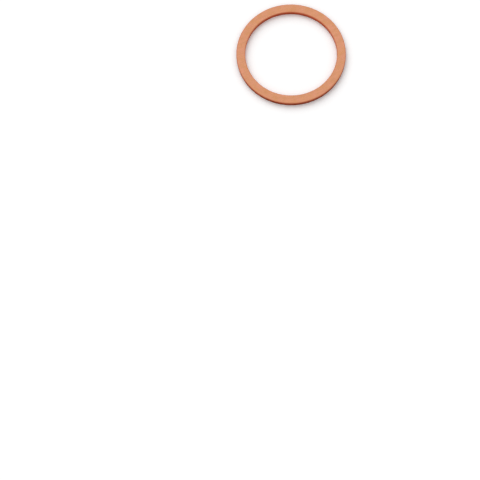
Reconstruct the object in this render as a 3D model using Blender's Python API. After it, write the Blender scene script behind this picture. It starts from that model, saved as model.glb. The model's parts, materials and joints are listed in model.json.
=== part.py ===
"""Copper crush washer, 26 x 31 x 1.5 mm: a flat sealing ring blanked from soft copper sheet.

The washer is one piece, so the model is one solid. Its section is that of a ring cut by a press tool
that blanks the rim and pierces the bore in one stroke. The tool draws both upper edges over into a
shoulder, then shears a straight land, and the rest tears off, leaning back by the tool's clearance.
The tumbling barrel leaves a small round where the burr was, on both lower edges.

The origin is the centre of the bore on the lower sealing face, and +Z runs up through the bore.
"""

import math

import bpy

MM = 0.001

# The ring, before it is crushed
BORE_DIAMETER = 26.0 * MM
RIM_WIDTH = 2.5 * MM
THICKNESS = 1.5 * MM

# The edges that the press tool and the tumbling barrel leave
SHOULDER_WIDTH = 0.26 * MM
SHOULDER_DEPTH = 0.18 * MM
TORN_HEIGHT = 0.50 * MM
TOOL_CLEARANCE = 0.05 * MM
TUMBLED_RADIUS = 0.06 * MM

# How finely the round shapes are cut into facets
RING_STEPS = 160
SHOULDER_STEPS = 6
TUMBLED_STEPS = 3

# Soft, annealed copper, as a base colour and finish
COPPER_COLOUR = (0.69, 0.31, 0.17, 1.0)
COPPER_ROUGHNESS = 0.38


def clear_scene():
    for old in list(bpy.data.objects):
        bpy.data.objects.remove(old, do_unlink=True)


def annealed_copper():
    material = bpy.data.materials.new("annealed_copper")
    material.use_nodes = True
    shader = material.node_tree.nodes["Principled BSDF"]
    shader.inputs["Base Color"].default_value = COPPER_COLOUR
    shader.inputs["Metallic"].default_value = 1.0
    shader.inputs["Roughness"].default_value = COPPER_ROUGHNESS
    return material


def quarter_round(centre, width, depth, start, steps):
    """Points of a quarter of an ellipse, clockwise from the angle start, as (radius, height) pairs."""
    turn = -math.pi / 2
    angles = [start + turn * step / steps for step in range(steps + 1)]
    return [(centre[0] + width * math.cos(a), centre[1] + depth * math.sin(a)) for a in angles]


def wall_side(radius, outward):
    """One side of the section from the upper face down to the lower one.

    outward is 1 for the rim's wall, which faces away from the axis, and -1 for the bore's.
    """
    shoulder_centre = (radius - outward * SHOULDER_WIDTH, THICKNESS - SHOULDER_DEPTH)
    torn_foot = radius - outward * TOOL_CLEARANCE
    tumbled_centre = (torn_foot - outward * TUMBLED_RADIUS, TUMBLED_RADIUS)

    shoulder = quarter_round(
        shoulder_centre, outward * SHOULDER_WIDTH, SHOULDER_DEPTH, math.pi / 2, SHOULDER_STEPS
    )
    land_foot = (radius, TORN_HEIGHT)
    tumbled = quarter_round(
        tumbled_centre, outward * TUMBLED_RADIUS, TUMBLED_RADIUS, 0.0, TUMBLED_STEPS
    )
    return [*shoulder, land_foot, *tumbled]


def section_outline():
    """The closed section, down the rim's wall and back up the bore's, as (radius, height) pairs."""
    bore_radius = BORE_DIAMETER / 2
    rim_radius = bore_radius + RIM_WIDTH
    rim_wall = wall_side(rim_radius, outward=1)
    bore_wall = wall_side(bore_radius, outward=-1)
    return rim_wall + bore_wall[::-1]


def section_mesh():
    outline = section_outline()
    points = [(radius, 0.0, height) for radius, height in outline]
    edges = [(i, (i + 1) % len(points)) for i in range(len(points))]
    mesh = bpy.data.meshes.new("crush_washer_section")
    mesh.from_pydata(points, edges, [])
    return mesh


def crush_washer():
    washer = bpy.data.objects.new("crush_washer", section_mesh())
    bpy.context.scene.collection.objects.link(washer)
    washer.data.materials.append(annealed_copper())

    turned = washer.modifiers.new("Turn the section about the bore's axis", "SCREW")
    turned.axis = "Z"
    turned.angle = 2 * math.pi
    turned.screw_offset = 0.0
    turned.steps = RING_STEPS
    turned.render_steps = RING_STEPS
    turned.use_smooth_shade = True

    shading = washer.modifiers.new("Keep the sealing faces flat in the light", "WEIGHTED_NORMAL")
    shading.weight = 100
    return washer


clear_scene()
crush_washer()
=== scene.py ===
"""Dresses the copper crush washer: a pressed ring of soft copper, lying on a white table in soft light.

The file is laid out as an add-on and is run as a script. The ring's sizes and finish are properties, and so
are its table, light and camera. One operator makes the ring, another its stage, and a panel in the sidebar
lists both. Lengths are in metres, unless a name ends in _mm or _px, and the copper's patterns are laid out
in millimetres.
"""

import json
import math
from types import SimpleNamespace

import bmesh
import bpy
from bpy.props import FloatProperty, FloatVectorProperty, IntProperty, PointerProperty
from mathutils import Matrix, Quaternion, Vector, noise


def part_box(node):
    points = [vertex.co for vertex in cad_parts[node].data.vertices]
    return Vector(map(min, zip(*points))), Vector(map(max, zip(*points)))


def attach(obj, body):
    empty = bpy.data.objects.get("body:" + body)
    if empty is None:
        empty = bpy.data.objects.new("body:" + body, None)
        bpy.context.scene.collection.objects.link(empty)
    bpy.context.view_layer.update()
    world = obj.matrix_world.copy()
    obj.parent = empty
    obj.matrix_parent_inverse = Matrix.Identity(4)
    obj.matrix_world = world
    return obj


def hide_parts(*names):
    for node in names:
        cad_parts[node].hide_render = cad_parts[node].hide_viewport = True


bl_info = {
    "name": "Copper crush washer",
    "version": (1, 0, 0),
    "blender": (4, 5, 0),
    "location": "View3D > Sidebar > Crush washer",
    "description": "A pressed and annealed copper sealing ring, on a white table",
    "category": "Object",
}

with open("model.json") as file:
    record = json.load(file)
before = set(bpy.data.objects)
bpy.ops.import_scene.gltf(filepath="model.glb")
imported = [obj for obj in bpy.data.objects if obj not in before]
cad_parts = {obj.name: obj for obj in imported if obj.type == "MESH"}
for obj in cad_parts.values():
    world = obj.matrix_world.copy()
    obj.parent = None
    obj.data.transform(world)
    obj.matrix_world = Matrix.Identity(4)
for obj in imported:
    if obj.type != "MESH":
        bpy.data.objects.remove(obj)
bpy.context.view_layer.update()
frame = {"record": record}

MM = 0.001
NODE = "crush_washer"

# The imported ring's own sizes, of which the middle of its band is where a bolt's head bears on it
ring_low, ring_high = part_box(NODE)
head_face = next(mount for mount in frame["record"]["mounts"] if mount["name"] == "head_face")
OUTER_DIAMETER = ring_high.x - ring_low.x
THICKNESS = ring_high.z - ring_low.z
BAND_MIDDLE = math.hypot(head_face["pos_m"][0], head_face["pos_m"][1])
BAND_WIDTH = OUTER_DIAMETER - 2 * BAND_MIDDLE

# The section's corners that become shoulders and tumbled edges, and how finely each stretch is cut
SHOULDER_CORNERS = (1, 8)
FOOT_CORNERS = (4, 5)
SHOULDER_FACETS = 10
FOOT_FACETS = 5
CHORD = 0.08 * MM

# How far apart dings and nicks lie, and how far the widest ones reach from their middles
DING_SPACING_MM = 1.7
DING_REACH_MM = 0.34
NICK_SPACING_MM = 0.8
NICK_REACH_MM = 0.26

# Directions of the hair scratches, in degrees
SCRATCH_DIRECTIONS = (8.0, 49.0, 83.0, 121.0, 158.0)

# Where the room's level changes: above its lower edge, overhead, and to the sides. Each is a pair of sines
ROOM_EDGE = (0.13, 0.42)
ROOM_TOP = (0.55, 0.95)
ROOM_CARDS = (0.55, 0.95)

# The table lies a hair below the ring, so that the two surfaces don't share a plane
TABLE_DROP = 0.01 * MM

PICTURE_SIDE_PX = 480
SENSOR_WIDTH_MM = 36.0
BLACK = (0.0, 0.0, 0.0)


class CrushWasherSizes(bpy.types.PropertyGroup):
    """The ring's own sizes, and how far pressing and tumbling have marked it."""

    outer_diameter: FloatProperty(
        name="Outer diameter",
        description="Across the rim",
        default=OUTER_DIAMETER,
        unit="LENGTH",
    )
    band_width: FloatProperty(
        name="Band width",
        description="From the bore's wall to the rim's",
        default=BAND_WIDTH,
        unit="LENGTH",
    )
    thickness: FloatProperty(
        name="Thickness",
        description="From one sealing face to the other, before the ring is crushed",
        default=THICKNESS,
        unit="LENGTH",
    )
    shoulder_width: FloatProperty(
        name="Shoulder width",
        description="How far in from a wall the press tool draws the upper face down",
        default=0.26 * MM,
        unit="LENGTH",
    )
    shoulder_depth: FloatProperty(
        name="Shoulder depth",
        description="How far down a wall the drawn shoulder reaches",
        default=0.18 * MM,
        unit="LENGTH",
    )
    torn_height: FloatProperty(
        name="Torn height",
        description="Height on a wall at which the sheared land ends and the torn metal starts",
        default=0.50 * MM,
        unit="LENGTH",
    )
    tool_clearance: FloatProperty(
        name="Tool clearance",
        description="How far the torn metal leans back by the time it meets the lower face",
        default=0.05 * MM,
        unit="LENGTH",
    )
    tumbled_radius: FloatProperty(
        name="Tumbled radius",
        description="Round of the lower edges, where the burr was",
        default=0.06 * MM,
        unit="LENGTH",
    )
    torn_line_wander: FloatProperty(
        name="Torn line's wander",
        description="How far the line between land and torn metal strays up and down a wall",
        default=0.13 * MM,
        unit="LENGTH",
    )
    torn_pit_depth: FloatProperty(
        name="Torn pits' depth",
        description="Depth of the pits in the torn metal",
        default=0.035 * MM,
        unit="LENGTH",
    )
    ding_depth: FloatProperty(
        name="Dings' depth",
        description="Depth of the dings that rings in a tumbling barrel knock into each other's faces",
        default=0.018 * MM,
        unit="LENGTH",
    )
    nick_depth: FloatProperty(
        name="Nicks' depth",
        description="Depth of the nicks along the edges",
        default=0.035 * MM,
        unit="LENGTH",
    )
    face_wave_depth: FloatProperty(
        name="Face waves' depth",
        description="How far the sealing faces fall and rise after annealing",
        default=0.006 * MM,
        unit="LENGTH",
    )
    steps_round: IntProperty(
        name="Steps round",
        description="Facets in one turn of the ring",
        default=780,
        min=48,
    )


class CrushWasherFinish(bpy.types.PropertyGroup):
    """The colours and sheen of annealed, tumbled copper, with painted shade and painted light on its walls
    and edges.
    """

    face_colour: FloatVectorProperty(
        name="Face",
        description="Satin copper of the two sealing faces",
        subtype="COLOR",
        default=(0.70, 0.315, 0.172),
    )
    amber_colour: FloatVectorProperty(
        name="Amber bloom",
        description="Where annealing has left a faint yellow bloom",
        subtype="COLOR",
        default=(0.675, 0.305, 0.142),
    )
    rose_colour: FloatVectorProperty(
        name="Rose bloom",
        description="Where annealing has left a faint pink bloom",
        subtype="COLOR",
        default=(0.725, 0.315, 0.192),
    )
    bright_colour: FloatVectorProperty(
        name="Scratched",
        description="Bright copper in a fresh scratch",
        subtype="COLOR",
        default=(0.80, 0.39, 0.24),
    )
    # Darker copper on the rounded edges: painted shade, which dims their glint.
    shaded_edge_colour: FloatVectorProperty(
        name="Drawn shoulder",
        description="Duller copper, where the press tool has stretched the edge",
        subtype="COLOR",
        default=(0.62, 0.215, 0.113),
    )
    # The walls are darker and redder than the faces. This is partly the sheared metal's own colour, and
    # partly painted shade and painted light bounced between copper surfaces. The bore's walls are painted
    # lighter than the rim's, as painted light.
    rim_land_shaded_colour: FloatVectorProperty(
        name="Sheared land",
        description="Upper part of the rim's wall, wiped by the press tool",
        subtype="COLOR",
        default=(0.41, 0.077, 0.032),
    )
    bore_land_lit_colour: FloatVectorProperty(
        name="Bore's sheared land",
        description="Upper part of the bore's wall, which is a brighter red than the rim's",
        subtype="COLOR",
        default=(0.58, 0.106, 0.043),
    )
    rim_torn_shaded_colour: FloatVectorProperty(
        name="Torn metal",
        description="Lower part of the rim's wall, redder where light bounces twice in its pits",
        subtype="COLOR",
        default=(0.1596, 0.02184, 0.0084),
    )
    bore_torn_lit_colour: FloatVectorProperty(
        name="Bore's torn metal",
        description="Lower part of the bore's wall",
        subtype="COLOR",
        default=(0.3596, 0.06572, 0.02666),
    )
    glancing_tint: FloatVectorProperty(
        name="Glancing tint",
        description="What dull copper keeps of the white that bright metal shows at a glancing angle",
        subtype="COLOR",
        default=(1.0, 0.65, 0.55),
    )
    face_roughness: FloatProperty(
        name="Face roughness",
        description="Roughness of the sealing faces",
        default=0.31,
        min=0.0,
        max=1.0,
    )
    land_roughness: FloatProperty(
        name="Land roughness",
        description="Roughness of the sheared land",
        default=0.30,
        min=0.0,
        max=1.0,
    )
    torn_roughness: FloatProperty(
        name="Torn roughness",
        description="Roughness of the torn metal",
        default=0.58,
        min=0.0,
        max=1.0,
    )
    rolling_direction: FloatProperty(
        name="Rolling direction",
        description="Way in which the sheet was rolled, from the X axis",
        default=math.radians(24.0),
        subtype="ANGLE",
    )


class CrushWasherStage(bpy.types.PropertyGroup):
    """The white table, the pale room, the soft lamp and the camera."""

    table_colour: FloatVectorProperty(
        name="Table",
        description="White of the table, for the light that it throws on the ring",
        subtype="COLOR",
        default=(0.97, 0.97, 0.97),
    )
    table_seen: FloatVectorProperty(
        name="Table as it is seen",
        description="White that the camera sees, a little over, so that only the ring's shadow isn't white",
        subtype="COLOR",
        default=(1.14, 1.14, 1.14),
        max=2.0,
    )
    table_size: FloatProperty(
        name="Table size",
        description="Length of the table's sides",
        default=6.0,
        unit="LENGTH",
    )
    room_overhead: FloatProperty(
        name="Room overhead",
        description="Level of the pale room straight overhead",
        default=1.00,
        min=0.0,
    )
    room_middle: FloatProperty(
        name="Room half way up",
        description="Level of the pale room half way up its walls",
        default=0.90,
        min=0.0,
    )
    room_light: FloatProperty(
        name="Room's light",
        description="Share of its own level that the room sheds as light, next to the soft lamp's",
        default=0.76,
        min=0.0,
        max=1.0,
    )
    room_slope: FloatProperty(
        name="Room's slope",
        description="How much brighter the room is on the soft lamp's side, and darker on the other",
        default=0.22,
        min=0.0,
    )
    room_sides: FloatProperty(
        name="Room's sides",
        description="How much darker the room is to the left and right, where dark cards stand",
        default=0.20,
        min=0.0,
    )
    key_power: FloatProperty(
        name="Key lamp",
        description="Power of the soft lamp, which hangs beyond the ring and to its left, in watts",
        default=150.0,
        min=0.0,
    )
    key_size: FloatProperty(
        name="Key lamp's size",
        description="Length of the soft lamp's sides",
        default=6.00,
        unit="LENGTH",
    )
    key_distance: FloatProperty(
        name="Key lamp's distance",
        description="From the ring to the soft lamp, far enough to light the whole table alike",
        default=6.00,
        unit="LENGTH",
    )
    key_height: FloatProperty(
        name="Key lamp's height",
        description="How far above the table the soft lamp stands, as an angle",
        default=math.radians(44.0),
        subtype="ANGLE",
    )
    key_side: FloatProperty(
        name="Key lamp's side",
        description="How far round to the left of straight beyond the ring the soft lamp stands",
        default=math.radians(33.0),
        subtype="ANGLE",
    )
    lens_mm: FloatProperty(
        name="Lens",
        description="Focal length of the camera, in millimetres",
        default=148.0,
        min=1.0,
    )
    camera_distance: FloatProperty(
        name="Camera distance",
        description="From the middle of the upper face to the camera",
        default=561.4 * MM,
        unit="LENGTH",
    )
    camera_height: FloatProperty(
        name="Camera height",
        description="How steeply the camera looks down on the ring",
        default=math.radians(64.28),
        subtype="ANGLE",
    )
    camera_roll: FloatProperty(
        name="Camera roll",
        description="How far the camera leans to one side",
        default=math.radians(1.24),
        subtype="ANGLE",
    )
    ring_x_px: FloatProperty(
        name="Ring across the picture",
        description="From the picture's left edge to the middle of the ring, in pixels",
        default=291.07,
    )
    ring_y_px: FloatProperty(
        name="Ring down the picture",
        description="From the picture's top edge to the middle of the ring, in pixels",
        default=53.30,
    )


class Value:
    """A number's socket in a shader. Python's operators work on it, and each adds a Math node."""

    def __init__(self, shading, socket):
        self.shading = shading
        self.socket = socket

    def maths(self, operation, *numbers):
        return self.shading.add("ShaderNodeMath", {"operation": operation}, dict(enumerate(numbers)))

    def __add__(self, other):
        return self.maths("ADD", self, other)

    def __radd__(self, other):
        return self.maths("ADD", other, self)

    def __sub__(self, other):
        return self.maths("SUBTRACT", self, other)

    def __rsub__(self, other):
        return self.maths("SUBTRACT", other, self)

    def __mul__(self, other):
        return self.maths("MULTIPLY", self, other)

    def __rmul__(self, other):
        return self.maths("MULTIPLY", other, self)

    def __abs__(self):
        return self.maths("ABSOLUTE", self)


class Shading:
    """Adds nodes to the tree of one material or of the world."""

    def __init__(self, tree):
        self.tree = tree
        tree.nodes.clear()

    def add(self, kind, settings, sockets, out=0):
        """One node of a kind: its settings, then its sockets' values or links. out picks what it gives."""
        node = self.tree.nodes.new(kind)
        for name, setting in settings.items():
            setattr(node, name, setting)
        for name, given in sockets.items():
            if isinstance(given, Value):
                self.tree.links.new(given.socket, node.inputs[name])
            else:
                node.inputs[name].default_value = given
        return Value(self, node.outputs[out]) if node.outputs else None

    def mix(self, factor, first, second):
        """Mixes two colours, each a Value or a plain colour, by a factor."""
        colours = [c if isinstance(c, Value) else (*c, 1.0) for c in (first, second)]
        sockets = {0: factor, 6: colours[0], 7: colours[1]}
        return self.add("ShaderNodeMix", {"data_type": "RGBA"}, sockets, out=2)

    def ease(self, value, low, high):
        """0 where value is at low or beyond, 1 where it is at high or beyond, and a soft step between."""
        settings = {"interpolation_type": "SMOOTHSTEP", "clamp": True}
        return self.add("ShaderNodeMapRange", settings, {"Value": value, "From Min": low, "From Max": high})

    def place_mm(self):
        """The place on the piece, in millimetres."""
        place = self.add("ShaderNodeTexCoord", {}, {}, out="Object")
        to_mm = (1 / MM, 1 / MM, 1 / MM)
        return self.add("ShaderNodeVectorMath", {"operation": "MULTIPLY"}, {0: place, 1: to_mm})

    def drawn_out(self, place, angle, size_mm, start=(0.0, 0.0, 0.0)):
        """The place as seen by a pattern whose marks are size_mm long, wide and high, turned by an angle."""
        sockets = {"Vector": place, "Location": start, "Rotation": (0.0, 0.0, angle), "Scale": size_mm}
        return self.add("ShaderNodeMapping", {"vector_type": "TEXTURE"}, sockets)

    def cloud(self, place, scale=1.0, detail=2.0):
        """Soft noise round 0.5, with about scale marks in each unit of the place."""
        sockets = {"Vector": place, "Scale": scale, "Detail": detail}
        return self.add("ShaderNodeTexNoise", {}, sockets, out="Fac")


def wall_corners(radius, outward, sizes):
    """One side of the section, with sharp corners, from the upper face down to the lower one.

    outward is 1 for the rim's wall, which faces away from the axis, and -1 for the bore's.
    """
    return [
        (radius - outward * sizes.shoulder_width, sizes.thickness),
        (radius, sizes.thickness),
        (radius, sizes.thickness - sizes.shoulder_depth),
        (radius, sizes.torn_height),
        (radius - outward * sizes.tool_clearance, 0.0),
    ]


def draw_section(bm, sizes):
    """Draws the ring's section as one face that stands at +X, with its corners rounded."""
    rim_radius = sizes.outer_diameter / 2
    rim = wall_corners(rim_radius, 1, sizes)
    bore = wall_corners(rim_radius - sizes.band_width, -1, sizes)
    corners = [bm.verts.new((radius, 0.0, height)) for radius, height in rim + bore[::-1]]
    bm.faces.new(corners)

    # Each shoulder's corner is cut back to the vertices on both sides of it, which makes it an ellipse
    bmesh.ops.bevel(
        bm,
        geom=[corners[i] for i in SHOULDER_CORNERS],
        affect="VERTICES",
        offset=100.0,
        offset_type="PERCENT",
        segments=SHOULDER_FACETS,
        profile=0.5,
        material=-1,
    )
    bmesh.ops.bevel(
        bm,
        geom=[corners[i] for i in FOOT_CORNERS],
        affect="VERTICES",
        offset=sizes.tumbled_radius,
        offset_type="OFFSET",
        segments=FOOT_FACETS,
        profile=0.5,
        material=-1,
    )
    bmesh.ops.remove_doubles(bm, verts=bm.verts, dist=0.0001 * MM)
    for edge in list(bm.edges):
        cuts = round(edge.calc_length() / CHORD) - 1
        if cuts > 0:
            bmesh.ops.subdivide_edges(bm, edges=[edge], cuts=cuts)


def spin_section(bm, sizes):
    """Turns the section once about the bore's axis."""
    bmesh.ops.delete(bm, geom=list(bm.faces), context="FACES_ONLY")
    bmesh.ops.spin(
        bm,
        geom=[*bm.verts, *bm.edges],
        cent=(0.0, 0.0, 0.0),
        axis=(0.0, 0.0, 1.0),
        dvec=(0.0, 0.0, 0.0),
        angle=2 * math.pi,
        steps=sizes.steps_round,
        use_merge=True,
    )
    bmesh.ops.recalc_face_normals(bm, faces=bm.faces)
    sort_faces(bm)


def sort_faces(bm):
    """Puts the faces in the order of their corners, because a spin leaves them in a new order each time."""
    bm.verts.index_update()
    count = len(bm.verts)

    def rank(face):
        corners = [vert.index for vert in face.verts]
        return min(corners) * count + max(corners)

    bm.faces.sort(key=rank)


def between(low, value, high):
    """0 at low or below, 1 at high or above, and a soft step between."""
    share = min(max((value - low) / (high - low), 0.0), 1.0)
    return share * share * (3 - 2 * share)


def torn_line_shift(place, sizes):
    """How far up the torn line strays on the wall at a place, and the metal above and below it with it."""
    land_top = sizes.thickness - sizes.shoulder_depth
    if place.z < sizes.torn_height:
        follow = place.z / sizes.torn_height
    else:
        follow = max((land_top - place.z) / (land_top - sizes.torn_height), 0.0)
    round_mm = Vector((place.x, place.y, 0.0)) / MM
    stray = noise.noise(round_mm * 0.45) + 0.45 * noise.noise(round_mm * 1.7)
    return follow * stray * sizes.torn_line_wander


def dents(place_mm, spacing_mm, widest_reach_mm):
    """Share of a dent's full depth at a place, where dents of many sizes lie about a spacing apart."""
    distances, centres = noise.voronoi(place_mm / spacing_mm)
    reach_mm = widest_reach_mm * (0.45 + 0.55 * noise.cell(centres[0] * 37.0))
    near = max(1 - (distances[0] * spacing_mm / reach_mm) ** 2, 0.0)
    return near * near


def wear_depth(place_mm, torn, face, edge, sizes):
    """How deep the torn metal's tears and pits, the faces' waves and dings, and the edges' nicks go."""
    tears = noise.noise(Vector((place_mm.x * 6.0, place_mm.y * 6.0, place_mm.z * 2.2)))
    pits = noise.noise(place_mm * 9.0)
    waves = noise.noise(place_mm * 0.8)
    depth = torn * sizes.torn_pit_depth * (0.5 + 0.35 * tears + 0.15 * pits)
    depth += face * sizes.face_wave_depth * (0.5 + 0.5 * waves)
    depth += face * sizes.ding_depth * dents(place_mm, DING_SPACING_MM, DING_REACH_MM)
    depth += edge * sizes.nick_depth * dents(place_mm, NICK_SPACING_MM, NICK_REACH_MM)
    return depth


def wear_ring(bm, sizes):
    """Marks the ring as pressing, annealing and tumbling leave it.

    Every mark goes inwards. Only the torn line moves along the walls, up and down.
    """
    wall_layer = bm.verts.layers.float.new("wall")
    torn_layer = bm.verts.layers.float.new("torn")
    edge_layer = bm.verts.layers.float.new("edge")
    line_blur = 0.05 * MM
    bm.normal_update()
    for vert in bm.verts:
        place, normal = vert.co.copy(), vert.normal.copy()
        # 0 on a sealing face, 1 on a wall, and in between on a rounded edge
        upright = math.hypot(normal.x, normal.y)
        wall = between(0.75, upright, 0.98)
        edge = between(0.15, 2 * abs(normal.z) * upright, 0.6)
        torn = wall * (1 - between(-line_blur, place.z - sizes.torn_height, line_blur))
        face = 1 - between(0.05, upright, 0.3)

        vert.co = place - normal * wear_depth(place / MM, torn, face, edge, sizes)
        vert.co.z += wall * torn_line_shift(place, sizes)
        vert[wall_layer] = wall
        vert[torn_layer] = torn
        vert[edge_layer] = edge


def hair_scratches(shading, place):
    """Hair scratches from the barrel, in patches, with a pattern of its own for each direction."""
    scratched = 0.0
    for turn, direction in enumerate(SCRATCH_DIRECTIONS):
        start = (3.1 * turn, 1.7 * turn, 0.9 * turn)
        hairs = shading.drawn_out(place, math.radians(direction), (2.4, 0.05, 0.6), start)
        scratched = shading.ease(shading.cloud(hairs, detail=0.0), 0.70, 0.80) + scratched
    return scratched * shading.ease(shading.cloud(place, scale=0.8), 0.42, 0.60)


def copper_marks(shading, finish, place):
    """The marks that vary the copper. Wall, torn and edge come from the mesh, and the rest from patterns."""
    wall, torn, edge = [
        shading.add("ShaderNodeAttribute", {"attribute_name": name}, {}, out="Fac")
        for name in ("wall", "torn", "edge")
    ]
    # Streaks that the rolls leave along the sheet, and upright drag lines that the tool leaves on the walls
    streaks = shading.drawn_out(place, finish.rolling_direction, (4.0, 0.12, 1.0))
    drag_lines = shading.drawn_out(place, 0.0, (0.05, 0.05, 1.6))
    # Pocks too fine for the mesh
    pocks = shading.add("ShaderNodeTexVoronoi", {"feature": "F1"}, {"Vector": place, "Scale": 1.9})
    return SimpleNamespace(
        wall=wall,
        torn=torn,
        edge=edge,
        rolled=shading.cloud(streaks, detail=3.0),
        dragged=shading.cloud(drag_lines, detail=2.0),
        grain=shading.cloud(place, scale=12.0, detail=4.0),
        matt=shading.cloud(place, scale=3.2, detail=4.0),
        scratched=hair_scratches(shading, place),
        pocked=shading.ease(pocks, 0.16, 0.04),
    )


def face_metal(shading, finish, place, marks):
    """Colour of the sealing faces: their bloom, darker streaks, dull patches and pocks, and scratches."""
    bloom = shading.cloud(place, scale=0.55, detail=3.0)
    colour = shading.mix(shading.ease(bloom, 0.36, 0.50), finish.amber_colour, finish.face_colour)
    colour = shading.mix(shading.ease(bloom, 0.50, 0.64), colour, finish.rose_colour)
    darker = [0.80 * part for part in finish.face_colour]
    colour = shading.mix(0.50 * shading.ease(marks.rolled, 0.40, 0.66), colour, darker)
    colour = shading.mix(0.55 * shading.ease(marks.matt, 0.50, 0.68), colour, darker)
    colour = shading.mix(0.40 * marks.pocked, colour, darker)
    return shading.mix(0.40 * marks.scratched, colour, finish.bright_colour)


def wall_metals(shading, finish, place, marks):
    """Colours of the sheared land and of the torn metal, with painted shade on the rim's wall and painted
    light on the bore's.
    """
    from_middle = shading.add("ShaderNodeVectorMath", {"operation": "LENGTH"}, {0: place}, out="Value")
    band_middle_mm = BAND_MIDDLE / MM
    in_bore = shading.ease(from_middle, band_middle_mm + 0.2, band_middle_mm - 0.2)
    # Painted light: the bore's walls get the lighter colours, and the rim's walls the darker ones
    land = shading.mix(in_bore, finish.rim_land_shaded_colour, finish.bore_land_lit_colour)
    torn = shading.mix(in_bore, finish.rim_torn_shaded_colour, finish.bore_torn_lit_colour)
    dragged_land = shading.mix(0.28 * shading.ease(marks.dragged, 0.70, 0.30), land, BLACK)
    bright_grain = shading.mix(0.42, land, BLACK)
    grainy_torn = shading.mix(shading.ease(marks.grain, 0.40, 0.68), torn, bright_grain)
    return dragged_land, grainy_torn


def copper_roughness(finish, marks):
    """Roughness of the faces, the land and the torn metal, each with its own variation."""
    face = finish.face_roughness + 0.10 * (marks.rolled - 0.5) + 0.16 * (marks.matt - 0.5)
    rough = face - 0.06 * marks.scratched
    rough = rough + marks.wall * (finish.land_roughness - finish.face_roughness)
    rough = rough + marks.torn * (finish.torn_roughness - finish.land_roughness)
    return rough + 0.14 * marks.edge * (1 - marks.torn) + 0.20 * (marks.dragged - 0.5) * marks.wall


def copper_relief(shading, marks):
    """The relief of the marks that are too fine for the mesh, as a normal."""
    face = 0.60 * marks.rolled + 0.35 * marks.matt - 0.20 * marks.scratched - 0.8 * marks.pocked
    height = face * (1 - marks.wall) + 1.6 * marks.dragged * marks.wall + 3.0 * marks.grain * marks.torn
    return shading.add("ShaderNodeBump", {}, {"Height": height, "Distance": 0.006 * MM})


def copper(finish):
    """Annealed copper after the tumbling barrel. Its sheared and torn walls are redder and darker, partly in
    their own metal and partly as painted shade and painted light, and its rounded edges carry painted shade.
    """
    material = bpy.data.materials.new("annealed_copper")
    material.use_nodes = True
    shading = Shading(material.node_tree)
    place = shading.place_mm()
    marks = copper_marks(shading, finish, place)

    # The walls: partly the metal's own colour, partly painted shade and painted light
    land, torn = wall_metals(shading, finish, place, marks)
    colour = shading.mix(marks.wall, face_metal(shading, finish, place, marks), land)
    colour = shading.mix(marks.torn, colour, torn)
    # Painted shade on the rounded edges, which dims their glint
    colour = shading.mix(0.70 * marks.edge * (1 - marks.torn), colour, finish.shaded_edge_colour)

    sockets = {
        "Base Color": colour,
        "Metallic": 1.0,
        "Roughness": copper_roughness(finish, marks),
        "Specular Tint": (*finish.glancing_tint, 1.0),
        "Normal": copper_relief(shading, marks),
    }
    metal = shading.add("ShaderNodeBsdfPrincipled", {}, sockets)
    shading.add("ShaderNodeOutputMaterial", {}, {"Surface": metal})
    return material


def background_seen(shading):
    """1 for a ray of the camera, a reflection or a pane of glass, and 0 for one that only brings light."""
    camera, glossy, through_glass = [
        shading.add("ShaderNodeLightPath", {}, {}, out=name)
        for name in ("Is Camera Ray", "Is Glossy Ray", "Is Transmission Ray")
    ]
    settings = {"operation": "ADD", "use_clamp": True}
    return shading.add("ShaderNodeMath", settings, {0: camera + glossy, 1: through_glass})


def white_table(stage):
    """A white that brings light to the ring as it is, and that is seen a little whiter than it is."""
    material = bpy.data.materials.new("white_table")
    material.use_nodes = True
    shading = Shading(material.node_tree)
    white = shading.mix(background_seen(shading), stage.table_colour, stage.table_seen)
    lit = shading.add("ShaderNodeBsdfDiffuse", {}, {"Color": white})
    shading.add("ShaderNodeOutputMaterial", {}, {"Surface": lit})
    return material


def lay_table(stage):
    bm = bmesh.new()
    bmesh.ops.create_grid(bm, x_segments=1, y_segments=1, size=stage.table_size / 2)
    mesh = bpy.data.meshes.new("table")
    bm.to_mesh(mesh)
    bm.free()
    mesh.transform(Matrix.Translation((0.0, 0.0, -TABLE_DROP)))
    mesh.materials.append(white_table(stage))
    table = bpy.data.objects.new("table", mesh)
    bpy.context.scene.collection.objects.link(table)


def towards_key(stage):
    """Which way the soft lamp stands, seen from the ring."""
    return Vector((
        -math.sin(stage.key_side) * math.cos(stage.key_height),
        math.cos(stage.key_side) * math.cos(stage.key_height),
        math.sin(stage.key_height),
    ))


def light_room(stage):
    """A pale room: white at the level of the table's edge, and above it brighter on the soft lamp's side."""
    world = bpy.data.worlds.new("pale_room")
    bpy.context.scene.world = world
    world.use_nodes = True
    shading = Shading(world.node_tree)
    direction = shading.add("ShaderNodeTexCoord", {}, {}, out="Generated")
    sideways, upwards = [
        shading.add("ShaderNodeSeparateXYZ", {}, {"Vector": direction}, out=axis) for axis in "XZ"
    ]
    to_lamp = towards_key(stage).xy.normalized().to_3d()
    lamp_side = shading.add(
        "ShaderNodeVectorMath", {"operation": "DOT_PRODUCT"}, {0: direction, 1: to_lamp}, out="Value"
    )
    above_edge = shading.ease(upwards, *ROOM_EDGE)
    above_middle = shading.ease(upwards, *ROOM_TOP)
    cards = stage.room_sides * shading.ease(abs(sideways), *ROOM_CARDS)
    level = 1.0 + (stage.room_middle - 1.0 + stage.room_slope * lamp_side - cards) * above_edge
    level = level + (stage.room_overhead - stage.room_middle) * above_middle
    strength = level * (stage.room_light + (1.0 - stage.room_light) * background_seen(shading))
    surroundings = shading.add(
        "ShaderNodeBackground", {}, {"Color": (1.0, 1.0, 1.0, 1.0), "Strength": strength}
    )
    shading.add("ShaderNodeOutputWorld", {}, {"Surface": surroundings})


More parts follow.
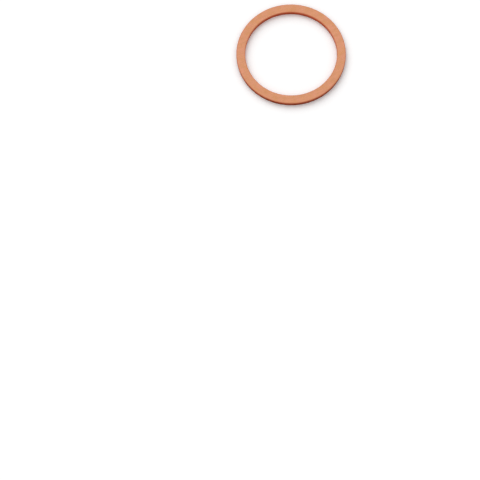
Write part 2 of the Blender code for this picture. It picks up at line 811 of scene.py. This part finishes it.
def hang_key_lamp(stage):
    """The soft lamp casts the shadows. The copper mirrors the room's brighter side in its place."""
    lamp = bpy.data.lights.new("key_lamp", "AREA")
    lamp.shape = "SQUARE"
    lamp.size = stage.key_size
    lamp.energy = stage.key_power
    key = bpy.data.objects.new("key_lamp", lamp)
    towards = towards_key(stage)
    key.location = towards * stage.key_distance
    key.rotation_mode = "QUATERNION"
    key.rotation_quaternion = towards.to_track_quat("Z", "Y")
    key.visible_glossy = False
    bpy.context.scene.collection.objects.link(key)


def stand_camera(stage):
    """Stands the camera where the ring's upper face comes out at its place in the picture."""
    data = bpy.data.cameras.new("camera")
    data.sensor_width = SENSOR_WIDTH_MM
    data.lens = stage.lens_mm
    data.clip_start = 0.01
    data.clip_end = 20.0
    camera = bpy.data.objects.new("camera", data)
    bpy.context.scene.collection.objects.link(camera)

    back = Vector((0.0, -math.cos(stage.camera_height), math.sin(stage.camera_height)))
    camera.location = Vector((0.0, 0.0, ring_high.z)) + back * stage.camera_distance

    lens_px = stage.lens_mm / SENSOR_WIDTH_MM * PICTURE_SIDE_PX
    middle_px = PICTURE_SIDE_PX / 2
    to_ring = Vector((stage.ring_x_px - middle_px, middle_px - stage.ring_y_px, -lens_px))
    straight_ahead = Vector((0.0, 0.0, -1.0))
    off_centre = to_ring.rotation_difference(straight_ahead)
    lean = Quaternion((0.0, 0.0, 1.0), stage.camera_roll)
    camera.rotation_mode = "QUATERNION"
    camera.rotation_quaternion = (-back).to_track_quat("-Z", "Y") @ lean @ off_centre
    bpy.context.scene.camera = camera


class CRUSHWASHER_OT_ring(bpy.types.Operator):
    """Model the pressed ring, mark it as the press and the barrel do, and give it its copper"""

    bl_idname = "crush_washer.ring"
    bl_label = "Pressed ring"
    bl_options = {"REGISTER", "UNDO"}

    def execute(self, context):
        sizes = context.scene.crush_washer_sizes
        bm = bmesh.new()
        draw_section(bm, sizes)
        spin_section(bm, sizes)
        wear_ring(bm, sizes)
        mesh = bpy.data.meshes.new("pressed_ring")
        bm.to_mesh(mesh)
        bm.free()
        mesh.shade_smooth()
        mesh.materials.append(copper(context.scene.crush_washer_finish))
        ring = bpy.data.objects.new("pressed_ring", mesh)
        context.scene.collection.objects.link(ring)
        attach(ring, "root")
        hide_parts(NODE)
        return {"FINISHED"}


class CRUSHWASHER_OT_stage(bpy.types.Operator):
    """Lay the white table, light it softly and stand the camera"""

    bl_idname = "crush_washer.stage"
    bl_label = "Table, light and camera"
    bl_options = {"REGISTER", "UNDO"}

    def execute(self, context):
        stage = context.scene.crush_washer_stage
        lay_table(stage)
        light_room(stage)
        hang_key_lamp(stage)
        stand_camera(stage)
        context.scene.view_settings.view_transform = "Standard"
        return {"FINISHED"}


class VIEW3D_PT_crush_washer(bpy.types.Panel):
    """The ring's and the stage's properties, each group under the operator that reads it"""

    bl_label = "Crush washer"
    bl_space_type = "VIEW_3D"
    bl_region_type = "UI"
    bl_category = "Crush washer"

    def draw(self, context):
        scene = context.scene
        rows = (
            (CRUSHWASHER_OT_ring, (scene.crush_washer_sizes, scene.crush_washer_finish)),
            (CRUSHWASHER_OT_stage, (scene.crush_washer_stage,)),
        )
        for operator, groups in rows:
            box = self.layout.box()
            box.operator(operator.bl_idname)
            for group in groups:
                for name in group.__annotations__:
                    box.prop(group, name)


GROUPS = {
    "crush_washer_sizes": CrushWasherSizes,
    "crush_washer_finish": CrushWasherFinish,
    "crush_washer_stage": CrushWasherStage,
}
CLASSES = (*GROUPS.values(), CRUSHWASHER_OT_ring, CRUSHWASHER_OT_stage, VIEW3D_PT_crush_washer)


def register():
    for cls in CLASSES:
        bpy.utils.register_class(cls)
    for name, group in GROUPS.items():
        setattr(bpy.types.Scene, name, PointerProperty(type=group))


def unregister():
    for name in GROUPS:
        delattr(bpy.types.Scene, name)
    for cls in reversed(CLASSES):
        bpy.utils.unregister_class(cls)


def main():
    register()
    bpy.ops.crush_washer.ring()
    bpy.ops.crush_washer.stage()


if __name__ == "__main__":
    main()
